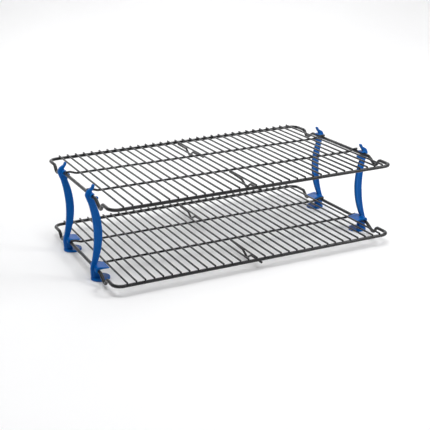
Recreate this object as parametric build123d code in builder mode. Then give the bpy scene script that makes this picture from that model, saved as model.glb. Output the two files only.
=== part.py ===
from build123d import *
import os

os.makedirs("parts", exist_ok=True)

# Two wire cooling racks, one above the other, joined by four moulded legs.
# Origin: middle of the footprint on the worktop. X runs along the racks.

# Rack sizes
wire_pitch = 12.0
wire_count = 32
wire_radius = 1.25
wire_half_length = 132.0
wire_end_round = 0.35
rail_radius = 2.25
rail_half_x = 201.9
rail_half_y = 131.2
rail_corner_radius = 12.0
rod_radius = 1.5

# Heights of the two perimeter wires above the worktop
lower_rail_z = 14.5
upper_rail_z = 113.5
tier_spacing = upper_rail_z - lower_rail_z

# V-shaped feet bent into the end rails
foot_outer_y = 102.0
foot_tip_y = 93.5
foot_inner_y = 76.0
foot_drop = 9.9
foot_top_bend = 6.0
foot_tip_bend = 6.0

# Inner rods under the cross wires, lifted at each end onto the end rails
rod_y = 44.5
rod_drop = rod_radius + wire_radius
rod_rise_start_x = 188.6
rod_rise_end_x = 197.2
rod_half_length = 203.4
rod_bend = 7.0

# Centre foot wires, each from an inner rod out to a long rail, welded under both
centre_foot_end_y = 133.3
centre_foot_outer_y = 103.5
centre_foot_tip_y = 92.0
centre_foot_inner_y = 79.0
centre_foot_level_y = 54.0
centre_foot_start_y = 43.0
centre_foot_drop = 7.4
centre_foot_bend = 4.5

# Legs
leg_y = 59.5
leg_plate_thickness = 4.4
leg_clip_width = 24.0
hook_sleeve_width = 12.0
leg_lip_width = 5.0
leg_edge_round = 0.9
leg_rim_width = 2.6
leg_groove_depth = 0.5
leg_running_gap = 0.05
seat_radius = rail_radius + leg_running_gap
clip_sleeve_radius = 4.8
hook_sleeve_radius = 3.9

# Column edges: three points on each arc, in from the end rail and up from it
column_outer_top = (-7.7, 99.0)
column_outer_mid = (-0.2, 50.5)
column_outer_base = (-7.7, 2.0)
column_inner_top = (3.2, 91.5)
column_inner_mid = (10.9, 51.5)
column_inner_base = (0.8, 6.0)
groove_base_z = 13.0
groove_top_z = 88.0

# Clearance lane of the hook, swept about the lower rail
lane_inner = tier_spacing - seat_radius
lane_outer = tier_spacing + seat_radius

# Clip round the lower rail, and the round foot under it
jaw_width = 7.0
jaw_top = -2.1
jaw_outer_x = -5.0
jaw_inner_x = 3.8
tab_outer_x = -4.2
tab_base_z = -1.0
tab_inner_x = 14.5
tab_plan_corner = 1.5
clip_gap = -2 * jaw_top
foot_bottom = -lower_rail_z
foot_thickness = 3.2
foot_top = foot_bottom + foot_thickness
foot_radius = 12.6
foot_centre_x = 5.0
foot_edge_round = 1.1
column_foot_x = -7.3


# Perimeter wires: one loop, its feet bent into both ends
def half_perimeter(height):
    foot_z = height - foot_drop
    return [
        (0, -rail_half_y, height),
        (rail_half_x, -rail_half_y, height),
        (rail_half_x, -foot_outer_y, height),
        (rail_half_x, -foot_tip_y, foot_z),
        (rail_half_x, -foot_inner_y, height),
        (rail_half_x, foot_inner_y, height),
        (rail_half_x, foot_tip_y, foot_z),
        (rail_half_x, foot_outer_y, height),
        (rail_half_x, rail_half_y, height),
        (0, rail_half_y, height),
    ]


foot_bends = [foot_top_bend, foot_tip_bend, foot_top_bend]
perimeter_bends = [rail_corner_radius] + foot_bends + foot_bends + [rail_corner_radius]

with BuildPart() as lower_perimeter_wire:
    with BuildLine() as lower_perimeter_path:
        FilletPolyline(*half_perimeter(lower_rail_z), radius=perimeter_bends)
    with BuildSketch(Plane(origin=(0, -rail_half_y, lower_rail_z), z_dir=(1, 0, 0))):
        Circle(rail_radius)
    sweep(path=lower_perimeter_path.wire())
    mirror(about=Plane.YZ)
lower_perimeter_wire.part.label = "lower_perimeter_wire"
export_step(lower_perimeter_wire.part, "parts/lower_perimeter_wire.step")

with BuildPart() as upper_perimeter_wire:
    with BuildLine() as upper_perimeter_path:
        FilletPolyline(*half_perimeter(upper_rail_z), radius=perimeter_bends)
    with BuildSketch(Plane(origin=(0, -rail_half_y, upper_rail_z), z_dir=(1, 0, 0))):
        Circle(rail_radius)
    sweep(path=upper_perimeter_path.wire())
    mirror(about=Plane.YZ)
upper_perimeter_wire.part.label = "upper_perimeter_wire"
export_step(upper_perimeter_wire.part, "parts/upper_perimeter_wire.step")


# Cross wires, laid on top of the rails in adjacent pairs
racks = [("lower", lower_rail_z), ("upper", upper_rail_z)]
first_wire_x = -wire_pitch * (wire_count - 1) / 2

for rack_name, rail_z in racks:
    wire_z = rail_z + rail_radius + wire_radius
    for pair in range(wire_count // 2):
        pair_x = first_wire_x + wire_pitch * 2 * pair
        wire_ends = [
            (pair_x, -wire_half_length, wire_z),
            (pair_x + wire_pitch, -wire_half_length, wire_z),
        ]
        with BuildPart() as cross_wire_pair:
            with BuildSketch(*[Plane(origin=end, z_dir=(0, 1, 0)) for end in wire_ends]):
                Circle(wire_radius)
            extrude(amount=2 * wire_half_length)
            fillet(cross_wire_pair.edges().filter_by(GeomType.CIRCLE), radius=wire_end_round)
        pair_name = f"{rack_name}_cross_wires_{2 * pair + 1:02d}_{2 * pair + 2:02d}"
        cross_wire_pair.part.label = pair_name
        export_step(cross_wire_pair.part, f"parts/{pair_name}.step")


# Inner rods, under the cross wires at the thirds of the width
for rack_name, rail_z in racks:
    rod_z = rail_z + rail_radius + wire_radius - rod_drop
    rod_end_z = rail_z + rail_radius + rod_radius
    for side_name, side_y in [("front", -rod_y), ("back", rod_y)]:
        rod_points = [
            (-rod_half_length, side_y, rod_end_z),
            (-rod_rise_end_x, side_y, rod_end_z),
            (-rod_rise_start_x, side_y, rod_z),
            (rod_rise_start_x, side_y, rod_z),
            (rod_rise_end_x, side_y, rod_end_z),
            (rod_half_length, side_y, rod_end_z),
        ]
        with BuildPart() as inner_rod:
            with BuildLine() as rod_path:
                FilletPolyline(*rod_points, radius=rod_bend)
            with BuildSketch(Plane(origin=rod_points[0], z_dir=(1, 0, 0))):
                Circle(rod_radius)
            sweep(path=rod_path.wire())
        rod_name = f"{rack_name}_{side_name}_inner_rod"
        inner_rod.part.label = rod_name
        export_step(inner_rod.part, f"parts/{rod_name}.step")


# Centre foot wires, halfway along, front and back
for rack_name, rail_z in racks:
    foot_wire_z = rail_z - rail_radius - rod_radius
    foot_tip_z = foot_wire_z - centre_foot_drop
    foot_start_z = rail_z + rail_radius + wire_radius - rod_drop - 2 * rod_radius
    for side_name, side in [("front", -1), ("back", 1)]:
        foot_wire_points = [
            (0, side * centre_foot_end_y, foot_wire_z),
            (0, side * centre_foot_outer_y, foot_wire_z),
            (0, side * centre_foot_tip_y, foot_tip_z),
            (0, side * centre_foot_inner_y, foot_wire_z),
            (0, side * centre_foot_level_y, foot_start_z),
            (0, side * centre_foot_start_y, foot_start_z),
        ]
        with BuildPart() as centre_foot_wire:
            with BuildLine() as foot_wire_path:
                FilletPolyline(*foot_wire_points, radius=centre_foot_bend)
            with BuildSketch(Plane(origin=foot_wire_points[0], z_dir=(0, -side, 0))):
                Circle(rod_radius)
            sweep(path=foot_wire_path.wire())
        foot_wire_name = f"{rack_name}_{side_name}_centre_foot_wire"
        centre_foot_wire.part.label = foot_wire_name
        export_step(centre_foot_wire.part, f"parts/{foot_wire_name}.step")


# Legs: clipped round the lower end rail, hooked over the upper one
legs = [
    ("left_front_leg", -1, -1),
    ("left_back_leg", -1, 1),
    ("right_front_leg", 1, -1),
    ("right_back_leg", 1, 1),
]

for leg_name, side_x, side_y in legs:
    leg_origin = (side_x * rail_half_x, side_y * leg_y, lower_rail_z)
    # Sketch x runs in from the end rail, sketch y runs up
    leg_plane = Plane(origin=leg_origin, x_dir=(-side_x, 0, 0), z_dir=(0, side_x, 0))
    # Sketch x runs in from the end rail, seen from above
    plan_plane = Plane(origin=leg_origin, x_dir=(-side_x, 0, 0), z_dir=(0, 0, 1))

    # Foot: a flat disc on the worktop
    with BuildPart() as foot:
        with BuildSketch(plan_plane.offset(foot_bottom)):
            with Locations((foot_centre_x, 0)):
                Circle(foot_radius)
        extrude(amount=foot_thickness)
        fillet(foot.edges().group_by(Axis.Z)[-1], radius=foot_edge_round)

    # Tab: upper jaw of the clip
    with BuildPart() as tab:
        with BuildSketch(leg_plane) as tab_side:
            with BuildLine():
                FilletPolyline(
                    (tab_outer_x, tab_base_z),
                    (tab_outer_x, 5.5),
                    (2.6, 5.5),
                    (tab_inner_x, 3.2),
                    (tab_inner_x, 2.2),
                    (3.6, 2.4),
                    (0.0, tab_base_z),
                    radius=[0.0, 2.8, 9.0, 0.4, 0.4, 2.0, 0.0],
                    close=True,
                )
            make_face()
        extrude(amount=leg_clip_width / 2, both=True)
        with BuildSketch(plan_plane) as tab_plan:
            with Locations(((tab_inner_x - 8.0) / 2, 0)):
                RectangleRounded(tab_inner_x + 8.0, leg_clip_width, tab_plan_corner)
        extrude(amount=lower_rail_z, both=True, mode=Mode.INTERSECT)

    # Curved column with a shallow groove down both faces
    with BuildPart() as column:
        with BuildSketch(leg_plane) as column_side:
            with BuildLine():
                ThreePointArc(column_outer_top, column_outer_mid, column_outer_base)
                Line(column_outer_base, (column_foot_x, foot_top - 1.0))
                Line((column_foot_x, foot_top - 1.0), (0.8, foot_top - 1.0))
                Line((0.8, foot_top - 1.0), column_inner_base)
                ThreePointArc(column_inner_base, column_inner_mid, column_inner_top)
                Line(column_inner_top, (3.2, 96.0))
                Line((3.2, 96.0), column_outer_top)
            make_face()
        extrude(amount=leg_plate_thickness / 2, both=True)
        fillet(column.edges().filter_by(GeomType.CIRCLE), radius=leg_edge_round)
        for face_side in (-1, 1):
            groove_start = face_side * (leg_plate_thickness / 2 - leg_groove_depth)
            with BuildSketch(leg_plane.offset(groove_start)) as groove:
                with BuildLine():
                    ThreePointArc(column_outer_top, column_outer_mid, column_outer_base)
                    Line(column_outer_base, column_inner_base)
                    ThreePointArc(column_inner_base, column_inner_mid, column_inner_top)
                    Line(column_inner_top, column_outer_top)
                make_face()
                offset(amount=-leg_rim_width, mode=Mode.REPLACE)
                with Locations((0, (groove_base_z + groove_top_z) / 2)):
                    Rectangle(60, groove_top_z - groove_base_z, mode=Mode.INTERSECT)
            extrude(amount=face_side * leg_plate_thickness, mode=Mode.SUBTRACT)

    with BuildPart() as leg:
        add(column.part)
        add(foot.part)
        add(tab.part)

        # Hook arm and horn, as thin as the column
        with BuildSketch(leg_plane) as arm_side:
            with BuildLine():
                FilletPolyline(
                    (-5.6, 90.6),
                    (-8.7, 100.4),
                    (-5.8, 106.0),
                    (-2.8, 107.8),
                    (0.4, 109.6),
                    (2.0, 113.4),
                    (5.0, 112.8),
                    (3.7, 109.0),
                    (0.2, 104.2),
                    (1.0, 90.6),
                    radius=[5.0, 4.0, 3.0, 1.5, 1.2, 1.2, 3.0, 0.5],
                )
                Line((1.0, 90.6), (-5.6, 90.6))
            make_face()
        extrude(amount=leg_plate_thickness / 2, both=True)

        # Lower lip of the hook
        with BuildSketch(leg_plane) as lip_side:
            with BuildLine():
                FilletPolyline(
                    (-3.0, 89.4),
                    (-3.0, 97.2),
                    (8.2, 97.2),
                    (8.2, 94.2),
                    (4.2, 89.6),
                    radius=[0.0, 0.0, 0.9, 1.2, 2.0],
                    close=True,
                )
            make_face()
        extrude(amount=leg_lip_width / 2, both=True)

        # Lower jaw of the clip, standing on the foot
        with BuildSketch(leg_plane) as jaw_side:
            Circle(clip_sleeve_radius)
            with BuildLine():
                Polyline(
                    (jaw_outer_x, jaw_top),
                    (jaw_inner_x, jaw_top),
                    (jaw_inner_x, foot_top - 1.0),
                    (jaw_outer_x, foot_top - 1.0),
                    close=True,
                )
            make_face()
        extrude(amount=jaw_width / 2, both=True)

        # Sleeve round the upper end rail
        with BuildSketch(leg_plane) as hook_sleeve:
            with Locations((0, tier_spacing)):
                Circle(hook_sleeve_radius)
        extrude(amount=hook_sleeve_width / 2, both=True)

        # Seat and lane of the upper rail, open towards the middle of the rack
        with BuildSketch(leg_plane) as hook_mouth:
            with Locations((0, tier_spacing)):
                Circle(seat_radius)
            with BuildLine():
                lane_top = CenterArc((0, 0), lane_outer, 75, 15)
                lane_base = CenterArc((0, 0), lane_inner, 75, 15)
                Line(lane_top @ 1, lane_base @ 1)
                Line(lane_top @ 0, lane_base @ 0)
            make_face()
        extrude(amount=leg_clip_width, both=True, mode=Mode.SUBTRACT)

        # Seat of the lower rail and the gap it snaps in through
        with BuildSketch(leg_plane) as clip_mouth:
            Circle(seat_radius)
            with Locations((3.0, 0)):
                Rectangle(6.0, clip_gap)
        extrude(amount=leg_clip_width, both=True, mode=Mode.SUBTRACT)

    leg.part.label = leg_name
    export_step(leg.part, f"parts/{leg_name}.step")
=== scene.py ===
import math
import random

import bmesh
import bpy
from mathutils import Matrix, Vector


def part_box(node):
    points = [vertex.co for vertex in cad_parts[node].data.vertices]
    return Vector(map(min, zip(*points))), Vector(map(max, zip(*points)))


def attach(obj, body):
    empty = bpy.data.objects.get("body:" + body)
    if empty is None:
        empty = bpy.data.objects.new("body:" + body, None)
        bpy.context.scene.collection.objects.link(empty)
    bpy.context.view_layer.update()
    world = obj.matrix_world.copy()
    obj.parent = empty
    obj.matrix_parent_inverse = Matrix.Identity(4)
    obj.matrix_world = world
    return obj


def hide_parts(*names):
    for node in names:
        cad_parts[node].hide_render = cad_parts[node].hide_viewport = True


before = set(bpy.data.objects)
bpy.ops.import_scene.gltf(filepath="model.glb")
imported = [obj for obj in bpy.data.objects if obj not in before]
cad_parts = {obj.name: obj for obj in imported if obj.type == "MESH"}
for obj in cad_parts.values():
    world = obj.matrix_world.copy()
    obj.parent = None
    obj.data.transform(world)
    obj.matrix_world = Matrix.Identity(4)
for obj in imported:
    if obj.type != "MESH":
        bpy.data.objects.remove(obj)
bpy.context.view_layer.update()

# ---------------------------------------------------------------- sizes, metres
MM = 0.001
RAIL_R = 2.25 * MM
ROD_R = 1.5 * MM
WIRE_R = 1.25 * MM
RAIL_SIDES = 28
ROD_SIDES = 22
WIRE_SIDES = 18
ROD_CUT_ROUND = 0.4 * MM
WIRE_CUT_ROUND = 0.35 * MM
CUT_ROUND_STEPS = 4
ROD_STEP = 12 * MM
WIRE_STEP = 16 * MM
BEND_ARC_STEP = math.radians(7)
RAIL_CORNER = 12.0 * MM
FOOT_BEND = 6.0 * MM
FOOT_OUTER_Y = 102.0 * MM
FOOT_TIP_Y = 93.5 * MM
FOOT_INNER_Y = 76.0 * MM
FOOT_DROP = 9.9 * MM
ROD_BEND = 7.0 * MM
ROD_RISE_START_X = 188.6 * MM
ROD_RISE_END_X = 197.2 * MM
CENTRE_FOOT_OUTER_Y = 103.5 * MM
CENTRE_FOOT_TIP_Y = 92.0 * MM
CENTRE_FOOT_INNER_Y = 79.0 * MM
CENTRE_FOOT_LEVEL_Y = 54.0 * MM
CENTRE_FOOT_DROP = 7.4 * MM
CENTRE_FOOT_RISE = 1.5 * MM
CENTRE_FOOT_BEND = 4.5 * MM

# Weld necks: from the middle of the neck out to its rims, above and below
NECK_LEVELS = (-0.62, -0.42, -0.2, 0.0, 0.2, 0.42, 0.62)
NECK_SIDES = 20
NECK_WAIST = 0.95
NECK_SPLAY = 1.9
NECK_WIDEST = 2.1 * MM
NECK_NARROWEST = 0.5 * MM
NECK_HUG = 0.93
NECK_UNEVENNESS = 0.08

# Skin of the moulded legs
LEG_VOXEL = 0.42 * MM
LEG_RELAX = 0.5
LEG_RELAX_ROUNDS = 3

RACKS = ("lower", "upper")
LEGS = ("left_front_leg", "left_back_leg", "right_front_leg", "right_back_leg")
WIRE_COUNT = 32
RACK_BODY = "racks"

dice = random.Random(7)


# ---------------------------------------------------------------- mesh helpers
def add_piece(name, bm, material, body, replaces=()):
    """A finished mesh piece, smooth shaded, riding on its body."""
    mesh = bpy.data.meshes.new(name)
    bm.to_mesh(mesh)
    bm.free()
    for polygon in mesh.polygons:
        polygon.use_smooth = True
    mesh.materials.append(material)
    piece = bpy.data.objects.new(name, mesh)
    bpy.context.scene.collection.objects.link(piece)
    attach(piece, body)
    if replaces:
        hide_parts(*replaces)
    return piece


def bent_path(corners, bends, closed=False):
    """Points along straight runs joined by round bends, one bend radius for each inner corner."""
    points = []
    count = len(corners)
    inner = range(count) if closed else range(1, count - 1)
    if not closed:
        points.append(corners[0].copy())
    for i in inner:
        radius = bends[i if closed else i - 1]
        here = corners[i]
        to_last = (corners[i - 1] - here).normalized()
        to_next = (corners[(i + 1) % count] - here).normalized()
        turn = math.pi - to_last.angle(to_next)
        reach = radius * math.tan(turn / 2)
        start = here + to_last * reach
        middle = here + (to_last + to_next).normalized() * radius / math.cos(turn / 2)
        spoke = start - middle
        axis = to_last.cross(to_next)
        steps = max(3, math.ceil(turn / BEND_ARC_STEP))
        for k in range(steps + 1):
            points.append(middle + Matrix.Rotation(-turn * k / steps, 3, axis) @ spoke)
    if not closed:
        points.append(corners[-1].copy())
    return points


def spaced(points, longest, closed=False):
    """The same path with extra points on its long runs."""
    out = []
    count = len(points)
    for i in range(count if closed else count - 1):
        a, b = points[i], points[(i + 1) % count]
        cuts = max(1, math.ceil((b - a).length / longest))
        for k in range(cuts):
            out.append(a.lerp(b, k / cuts))
    if not closed:
        out.append(points[-1].copy())
    return out


def sweep_ring(bm, centre, side, lift, radius, sides):
    """A circle of corners round a point of the path."""
    ring = []
    for k in range(sides):
        angle = 2 * math.pi * k / sides
        ring.append(bm.verts.new(centre + (side * math.cos(angle) + lift * math.sin(angle)) * radius))
    return ring


def join_rings(bm, a, b):
    """Faces between two rings of the same count."""
    count = len(a)
    for k in range(count):
        bm.faces.new((a[k], a[(k + 1) % count], b[(k + 1) % count], b[k]))


def sweep_tube(bm, points, radius, sides, closed=False, cut_round=0.0):
    """A round wire along a path. Its ends, if open, are cut off with a slightly rounded edge."""
    count = len(points)
    directions = []
    for i in range(count):
        before = points[i - 1] if closed or i else points[0]
        after = points[(i + 1) % count] if closed or i < count - 1 else points[-1]
        directions.append((after - before).normalized())
    side = directions[0].orthogonal().normalized()
    if abs(directions[0].z) < 0.9:
        side = directions[0].cross(Vector((0, 0, 1))).normalized()
    rings = []
    for i in range(count):
        side = (side - directions[i] * side.dot(directions[i])).normalized()
        lift = side.cross(directions[i])
        if not closed and cut_round and i in (0, count - 1):
            outward = -directions[i] if i == 0 else directions[i]
            made = []
            for k in range(CUT_ROUND_STEPS + 1):
                a = math.pi / 2 * k / CUT_ROUND_STEPS
                inset = cut_round * (1 - math.cos(a))
                along = cut_round * (math.sin(a) - 1)
                made.append(sweep_ring(bm, points[i] + outward * along, side, lift, radius - inset, sides))
            rings.extend(made[::-1] if i == 0 else made)
        else:
            rings.append(sweep_ring(bm, points[i], side, lift, radius, sides))
    for a, b in zip(rings, rings[1:]):
        join_rings(bm, a, b)
    if closed:
        join_rings(bm, rings[-1], rings[0])
    else:
        bm.faces.new(rings[0][::-1])
        bm.faces.new(rings[-1])
    bmesh.ops.recalc_face_normals(bm, faces=bm.faces)


def add_wire(name, node, path, radius, sides, cut_round):
    """A cut length of coated wire along a path."""
    bm = bmesh.new()
    sweep_tube(bm, path, radius, sides, cut_round=cut_round)
    add_piece(name, bm, coated_wire, RACK_BODY, [node])


def weld_neck(bm, contact, top_along_x, top_r, bottom_r):
    """The melted neck between two wires that cross: it hugs the upper one above and the lower one below."""
    swell = dice.uniform(1 - NECK_UNEVENNESS, 1 + NECK_UNEVENNESS)
    rings = []
    for level in NECK_LEVELS:
        height = level * MM
        depth = abs(height)
        radius_here = top_r if level > 0 else bottom_r
        hug = math.sqrt(max(radius_here**2 - (radius_here - depth) ** 2, 0)) * NECK_HUG
        along = min((NECK_WAIST + NECK_SPLAY * abs(level)) * MM * swell, NECK_WIDEST)
        across = max(min(hug, along), NECK_NARROWEST) if level else NECK_WAIST * MM * swell
        along_x = top_along_x if level > 0 else not top_along_x
        rx, ry = (along, across) if along_x else (across, along)
        ring = []
        for k in range(NECK_SIDES):
            a = 2 * math.pi * k / NECK_SIDES
            ring.append(bm.verts.new(contact + Vector((rx * math.cos(a), ry * math.sin(a), height))))
        rings.append(ring)
    for a, b in zip(rings, rings[1:]):
        join_rings(bm, a, b)
    bm.faces.new(rings[0][::-1])
    bm.faces.new(rings[-1])


# ---------------------------------------------------------------- materials
def new_material(name):
    """A node material, with its tree and its Principled shader."""
    material = bpy.data.materials.new(name)
    material.use_nodes = True
    tree = material.node_tree
    return material, tree, tree.nodes["Principled BSDF"]


def noise(tree, vector, scale, detail):
    """A noise value over the given place."""
    node = tree.nodes.new("ShaderNodeTexNoise")
    node.inputs["Scale"].default_value = scale
    node.inputs["Detail"].default_value = detail
    node.inputs["Roughness"].default_value = 0.55
    tree.links.new(vector, node.inputs["Vector"])
    return node.outputs["Fac"]


def ramp(tree, value, low, high, colour_low, colour_high):
    """One colour up to low, another from high on, and a blend between."""
    node = tree.nodes.new("ShaderNodeValToRGB")
    node.color_ramp.elements[0].position = low
    node.color_ramp.elements[0].color = colour_low
    node.color_ramp.elements[1].position = high
    node.color_ramp.elements[1].color = colour_high
    tree.links.new(value, node.inputs["Fac"])
    return node.outputs["Color"]


def spread(tree, value, low, high):
    """A noise value, stretched to run from low to high."""
    node = tree.nodes.new("ShaderNodeMapRange")
    node.inputs["From Min"].default_value = 0.3
    node.inputs["From Max"].default_value = 0.7
    node.inputs["To Min"].default_value = low
    node.inputs["To Max"].default_value = high
    tree.links.new(value, node.inputs["Value"])
    return node.outputs["Result"]


def mix_colour(tree, factor, a, b):
    """From colour a at factor 0 to colour b at factor 1."""
    colour_a, colour_b, colour_result = 6, 7, 2
    node = tree.nodes.new("ShaderNodeMix")
    node.data_type = "RGBA"
    tree.links.new(factor, node.inputs["Factor"])
    tree.links.new(a, node.inputs[colour_a])
    tree.links.new(b, node.inputs[colour_b])
    return node.outputs[colour_result]


def bump(tree, height, distance, strength, before=None):
    """A fine surface relief, laid over another one if it is given."""
    node = tree.nodes.new("ShaderNodeBump")
    node.inputs["Distance"].default_value = distance
    node.inputs["Strength"].default_value = strength
    tree.links.new(height, node.inputs["Height"])
    if before:
        tree.links.new(before, node.inputs["Normal"])
    return node.outputs["Normal"]


def stands_out(tree, low, high):
    """How far the surface stands out: 0 up to low, 1 from high on."""
    geometry = tree.nodes.new("ShaderNodeNewGeometry")
    node = tree.nodes.new("ShaderNodeMapRange")
    node.inputs["From Min"].default_value = low
    node.inputs["From Max"].default_value = high
    tree.links.new(geometry.outputs["Pointiness"], node.inputs["Value"])
    return node.outputs["Result"]


def coated_wire_material():
    """Dark grey non-stick coating: satin, with a fine orange peel and faint thick and thin patches."""
    material, tree, shader = new_material("coated_wire")
    place = tree.nodes.new("ShaderNodeTexCoord").outputs["Object"]
    patches = noise(tree, place, 55, 4)
    peel = noise(tree, place, 1500, 2)
    grain = noise(tree, place, 6000, 2)
    base = ramp(tree, patches, 0.35, 0.7, (0.006, 0.0063, 0.0072, 1), (0.012, 0.0124, 0.014, 1))
    tree.links.new(base, shader.inputs["Base Color"])
    tree.links.new(spread(tree, patches, 0.24, 0.36), shader.inputs["Roughness"])
    shader.inputs["Specular IOR Level"].default_value = 0.4
    shader.inputs["Coat Weight"].default_value = 0.15
    shader.inputs["Coat Roughness"].default_value = 0.2
    coarse = bump(tree, peel, 0.00006, 0.5)
    tree.links.new(bump(tree, grain, 0.00002, 0.4, coarse), shader.inputs["Normal"])
    return material


def blue_plastic_material():
    """Moulded blue polypropylene: semi-gloss, with flow marks, paler rubbed edges, and painted shade that
    darkens the hollows.
    """
    material, tree, shader = new_material("blue_plastic")
    place = tree.nodes.new("ShaderNodeTexCoord").outputs["Object"]
    flow = tree.nodes.new("ShaderNodeMapping")
    flow.inputs["Scale"].default_value = (1.0, 1.0, 0.25)
    tree.links.new(place, flow.inputs["Vector"])
    flow_marks = noise(tree, flow.outputs["Vector"], 120, 4)
    texture = noise(tree, place, 2600, 3)
    body = ramp(tree, flow_marks, 0.3, 0.7, (0.0, 0.094, 0.38, 1), (0.001, 0.116, 0.45, 1))
    rubbed = ramp(tree, flow_marks, 0.3, 0.7, (0.002, 0.180, 0.58, 1), (0.004, 0.215, 0.66, 1))
    # painted shade: a darker blue for the hollows and grooves, standing in for the shade that falls there
    painted_hollow_shade = ramp(tree, flow_marks, 0.3, 0.7, (0.0, 0.040, 0.21, 1), (0.0, 0.050, 0.25, 1))
    # where the surface sinks in, the body colour gives way to the painted shade
    shaded = mix_colour(tree, stands_out(tree, 0.44, 0.49), painted_hollow_shade, body)
    edge = stands_out(tree, 0.51, 0.58)
    tree.links.new(mix_colour(tree, edge, shaded, rubbed), shader.inputs["Base Color"])
    tree.links.new(spread(tree, texture, 0.26, 0.40), shader.inputs["Roughness"])
    shader.inputs["Subsurface Weight"].default_value = 0.06
    shader.inputs["Subsurface Radius"].default_value = (0.0004, 0.0008, 0.002)
    shader.inputs["Subsurface Scale"].default_value = 1.0
    shader.inputs["Specular IOR Level"].default_value = 0.12
    coarse = bump(tree, flow_marks, 0.00012, 0.5)
    tree.links.new(bump(tree, texture, 0.00003, 0.5, coarse), shader.inputs["Normal"])
    return material


coated_wire = coated_wire_material()
blue_plastic = blue_plastic_material()


# ---------------------------------------------------------------- racks
def build_perimeter(rack):
    """The outer loop, with its V feet. Gives the place of its middle line."""
    node = f"{rack}_perimeter_wire"
    low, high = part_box(node)
    x, y, z = high.x - RAIL_R, high.y - RAIL_R, high.z - RAIL_R
    foot_z = z - FOOT_DROP

    def end(sign):
        """One end rail, from front to back for sign 1 and from back to front for sign -1."""
        ys = [-y, -FOOT_OUTER_Y, -FOOT_TIP_Y, -FOOT_INNER_Y, FOOT_INNER_Y, FOOT_TIP_Y, FOOT_OUTER_Y, y]
        zs = [z, z, foot_z, z, z, foot_z, z, z]
        return [Vector((sign * x, sign * py, pz)) for py, pz in zip(ys, zs)]

    corners = end(1) + end(-1)
    end_bends = [RAIL_CORNER] + [FOOT_BEND] * 6 + [RAIL_CORNER]
    path = bent_path(corners, end_bends * 2, closed=True)
    bm = bmesh.new()
    sweep_tube(bm, spaced(path, ROD_STEP, closed=True), RAIL_R, RAIL_SIDES, closed=True)
    add_piece(f"{rack}_perimeter_wire_coated", bm, coated_wire, RACK_BODY, [node])
    return x, y, z


def build_cross_wires(rack):
    """Single cross wires, two for each CAD node. Gives where they lie along the rack."""
    centres = []
    for first in range(1, WIRE_COUNT, 2):
        node = f"{rack}_cross_wires_{first:02d}_{first + 1:02d}"
        low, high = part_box(node)
        z = (low.z + high.z) / 2
        for number, x in ((first, low.x + WIRE_R), (first + 1, high.x - WIRE_R)):
            path = spaced([Vector((x, low.y, z)), Vector((x, high.y, z))], WIRE_STEP)
            add_wire(f"{rack}_cross_wire_{number:02d}", node, path, WIRE_R, WIRE_SIDES, WIRE_CUT_ROUND)
            centres.append(x)
    return centres


def build_rods(rack):
    """The two inner rods, lifted at their ends onto the end rails. Gives their place."""
    for side in ("front", "back"):
        node = f"{rack}_{side}_inner_rod"
        low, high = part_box(node)
        y = (low.y + high.y) / 2
        z, end_z = low.z + ROD_R, high.z - ROD_R
        corners = [
            Vector((low.x, y, end_z)),
            Vector((-ROD_RISE_END_X, y, end_z)),
            Vector((-ROD_RISE_START_X, y, z)),
            Vector((ROD_RISE_START_X, y, z)),
            Vector((ROD_RISE_END_X, y, end_z)),
            Vector((high.x, y, end_z)),
        ]
        path = spaced(bent_path(corners, [ROD_BEND] * 4), ROD_STEP)
        add_wire(f"{rack}_{side}_rod", node, path, ROD_R, ROD_SIDES, ROD_CUT_ROUND)
    return abs(y), z


def build_centre_feet(rack):
    """The centre foot wires, each with one V foot, from an inner rod out under the long rail."""
    for side, sign in (("front", -1), ("back", 1)):
        node = f"{rack}_{side}_centre_foot_wire"
        low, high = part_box(node)
        start_z = high.z - ROD_R
        z = start_z - CENTRE_FOOT_RISE
        start_y, end_y = (high.y, low.y) if sign < 0 else (low.y, high.y)
        corners = [
            Vector((0, start_y, start_z)),
            Vector((0, sign * CENTRE_FOOT_LEVEL_Y, start_z)),
            Vector((0, sign * CENTRE_FOOT_INNER_Y, z)),
            Vector((0, sign * CENTRE_FOOT_TIP_Y, z - CENTRE_FOOT_DROP)),
            Vector((0, sign * CENTRE_FOOT_OUTER_Y, z)),
            Vector((0, end_y, z)),
        ]
        path = spaced(bent_path(corners, [CENTRE_FOOT_BEND] * 4), ROD_STEP)
        add_wire(f"{rack}_{side}_centre_foot", node, path, ROD_R, ROD_SIDES, ROD_CUT_ROUND)


def build_rack(rack):
    """All the wires of one rack, and the weld necks between them as one piece."""
    rail_x, rail_y, rail_z = build_perimeter(rack)
    wires = build_cross_wires(rack)
    rod_y, rod_z = build_rods(rack)
    build_centre_feet(rack)
    bm = bmesh.new()
    for x in wires:
        for sign in (-1, 1):
            weld_neck(bm, Vector((x, sign * rail_y, rail_z + RAIL_R)), False, WIRE_R, RAIL_R)
            weld_neck(bm, Vector((x, sign * rod_y, rod_z + ROD_R)), False, WIRE_R, ROD_R)
    for sx in (-1, 1):
        for sy in (-1, 1):
            weld_neck(bm, Vector((sx * rail_x, sy * rod_y, rail_z + RAIL_R)), True, ROD_R, RAIL_R)
    for sign in (-1, 1):
        weld_neck(bm, Vector((0, sign * rail_y, rail_z - RAIL_R)), True, RAIL_R, ROD_R)
        weld_neck(bm, Vector((0, sign * rod_y, rod_z - ROD_R)), True, ROD_R, ROD_R)
    bmesh.ops.recalc_face_normals(bm, faces=bm.faces)
    add_piece(f"{rack}_rack_welds", bm, coated_wire, RACK_BODY)


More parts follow.
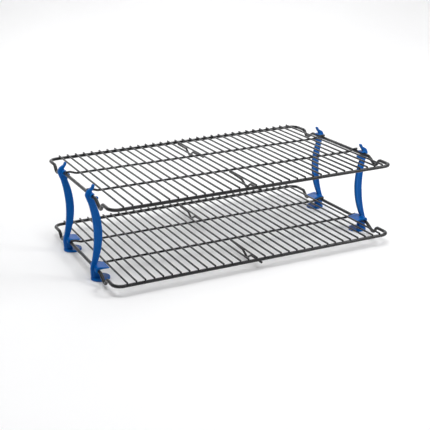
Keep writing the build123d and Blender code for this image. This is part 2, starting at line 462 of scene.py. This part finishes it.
# ---------------------------------------------------------------- legs
def build_leg(leg):
    """The moulding with its edges rounded: remeshed finely, then relaxed."""
    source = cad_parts[leg]
    work = bpy.data.objects.new(f"{leg}_work", source.data.copy())
    bpy.context.scene.collection.objects.link(work)
    remesh = work.modifiers.new("even skin", "REMESH")
    remesh.mode = "VOXEL"
    remesh.voxel_size = LEG_VOXEL
    relax = work.modifiers.new("round edges", "SMOOTH")
    relax.factor = LEG_RELAX
    relax.iterations = LEG_RELAX_ROUNDS
    graph = bpy.context.evaluated_depsgraph_get()
    skin = bpy.data.meshes.new_from_object(work.evaluated_get(graph))
    bpy.data.objects.remove(work)
    bm = bmesh.new()
    bm.from_mesh(skin)
    bpy.data.meshes.remove(skin)
    add_piece(f"{leg}_moulding", bm, blue_plastic, leg, [leg])


for rack_name in RACKS:
    build_rack(rack_name)
for leg_name in LEGS:
    build_leg(leg_name)


# ---------------------------------------------------------------- floor, light, camera
CAMERA_AZIMUTH = math.radians(-25.05)
CAMERA_ELEVATION = math.radians(18.83)
CAMERA_ROLL = math.radians(-1.25)
CAMERA_DISTANCE = 1.3307
AIM_RIGHT = -1.6 * MM
AIM_UP = -76.3 * MM
SENSOR_WIDTH_MM = 36.0
LENS_MM = 80.054

FLOOR_FRONT = -3.2
FLOOR_BACK = 1.5
BACKDROP_BEND = 1.2
BACKDROP_TOP = 3.6
FLOOR_HALF_WIDTH = 4.5
FLOOR_COLUMNS = 12
BACKDROP_BEND_STEPS = 12


def build_backdrop():
    """A pale sheet that lies under the rack and sweeps up behind it, square to the camera."""
    rows = [(FLOOR_FRONT, 0.0), (-1.0, 0.0), (0.0, 0.0), (FLOOR_BACK, 0.0)]
    for k in range(1, BACKDROP_BEND_STEPS + 1):
        a = math.pi / 2 * k / BACKDROP_BEND_STEPS
        rows.append((FLOOR_BACK + BACKDROP_BEND * math.sin(a), BACKDROP_BEND * (1 - math.cos(a))))
    rows.append((FLOOR_BACK + BACKDROP_BEND, BACKDROP_TOP))
    turn = Matrix.Rotation(CAMERA_AZIMUTH, 3, "Z")
    bm = bmesh.new()
    made = []
    for back, up in rows:
        row = []
        for k in range(FLOOR_COLUMNS + 1):
            across = FLOOR_HALF_WIDTH * (2 * k / FLOOR_COLUMNS - 1)
            row.append(bm.verts.new(turn @ Vector((across, back, up))))
        made.append(row)
    for a, b in zip(made, made[1:]):
        for k in range(FLOOR_COLUMNS):
            bm.faces.new((a[k], a[k + 1], b[k + 1], b[k]))
    mesh = bpy.data.meshes.new("backdrop")
    bm.to_mesh(mesh)
    bm.free()
    for polygon in mesh.polygons:
        polygon.use_smooth = True
    backdrop = bpy.data.objects.new("backdrop", mesh)
    bpy.context.scene.collection.objects.link(backdrop)
    material, tree, shader = new_material("pale_sheet")
    place = tree.nodes.new("ShaderNodeTexCoord").outputs["Object"]
    tone = noise(tree, place, 3, 2)
    colour = ramp(tree, tone, 0.3, 0.7, (0.94, 0.94, 0.945, 1), (0.96, 0.96, 0.965, 1))
    tree.links.new(colour, shader.inputs["Base Color"])
    shader.inputs["Roughness"].default_value = 0.8
    shader.inputs["Specular IOR Level"].default_value = 0.05
    mesh.materials.append(material)


def add_area(name, place, target, size, power):
    """A white soft box at a place, turned to its target."""
    light = bpy.data.lights.new(name, "AREA")
    light.shape = "RECTANGLE"
    light.size, light.size_y = size
    light.energy = power
    lamp = bpy.data.objects.new(name, light)
    lamp.location = place
    lamp.rotation_euler = (Vector(target) - Vector(place)).to_track_quat("-Z", "Y").to_euler()
    bpy.context.scene.collection.objects.link(lamp)


def build_world(horizon, zenith):
    """Plain grey surroundings, paler towards the horizon."""
    world = bpy.data.worlds.new("studio")
    world.use_nodes = True
    tree = world.node_tree
    place = tree.nodes.new("ShaderNodeTexCoord").outputs["Generated"]
    split = tree.nodes.new("ShaderNodeSeparateXYZ")
    tree.links.new(place, split.inputs["Vector"])
    tone = ramp(tree, split.outputs["Z"], 0.0, 0.25, (horizon,) * 3 + (1,), (zenith,) * 3 + (1,))
    tree.links.new(tone, tree.nodes["Background"].inputs["Color"])
    bpy.context.scene.world = world


def build_camera():
    """The photograph's view, aimed from the middle of the upper rack's cross wires."""
    low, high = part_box("upper_cross_wires_01_02")
    origin = Vector((0, 0, (low.z + high.z) / 2))
    a, e, roll = CAMERA_AZIMUTH, CAMERA_ELEVATION, CAMERA_ROLL
    back = Vector((math.sin(a) * math.cos(e), -math.cos(a) * math.cos(e), math.sin(e)))
    level = Vector((math.cos(a), math.sin(a), 0))
    upright = back.cross(level)
    right = level * math.cos(roll) + upright * math.sin(roll)
    up = upright * math.cos(roll) - level * math.sin(roll)
    place = origin + right * AIM_RIGHT + up * AIM_UP + back * CAMERA_DISTANCE
    data = bpy.data.cameras.new("camera")
    data.sensor_width = SENSOR_WIDTH_MM
    data.lens = LENS_MM
    data.clip_start = 0.05
    data.clip_end = 20
    camera = bpy.data.objects.new("camera", data)
    matrix = Matrix((right, up, back)).transposed().to_4x4()
    matrix.translation = place
    camera.matrix_world = matrix
    bpy.context.scene.collection.objects.link(camera)
    bpy.context.scene.camera = camera


build_backdrop()
build_world(0.34, 0.12)
add_area("key", (1.25, -0.85, 1.25), (0.25, -0.05, 0.05), (0.6, 0.6), 15)
add_area("top", (-0.35, -0.4, 2.9), (-0.1, 0.1, 0.05), (2.0, 1.4), 51)
add_area("back", (0.45, 1.70, 1.10), (0, 0, 0.06), (0.9, 0.5), 5.5)
add_area("sheet", (0.5, 1.0, 2.6), (1.0, 2.3, 0.5), (2.5, 1.0), 21)
build_camera()
bpy.context.scene.view_settings.view_transform = "Standard"
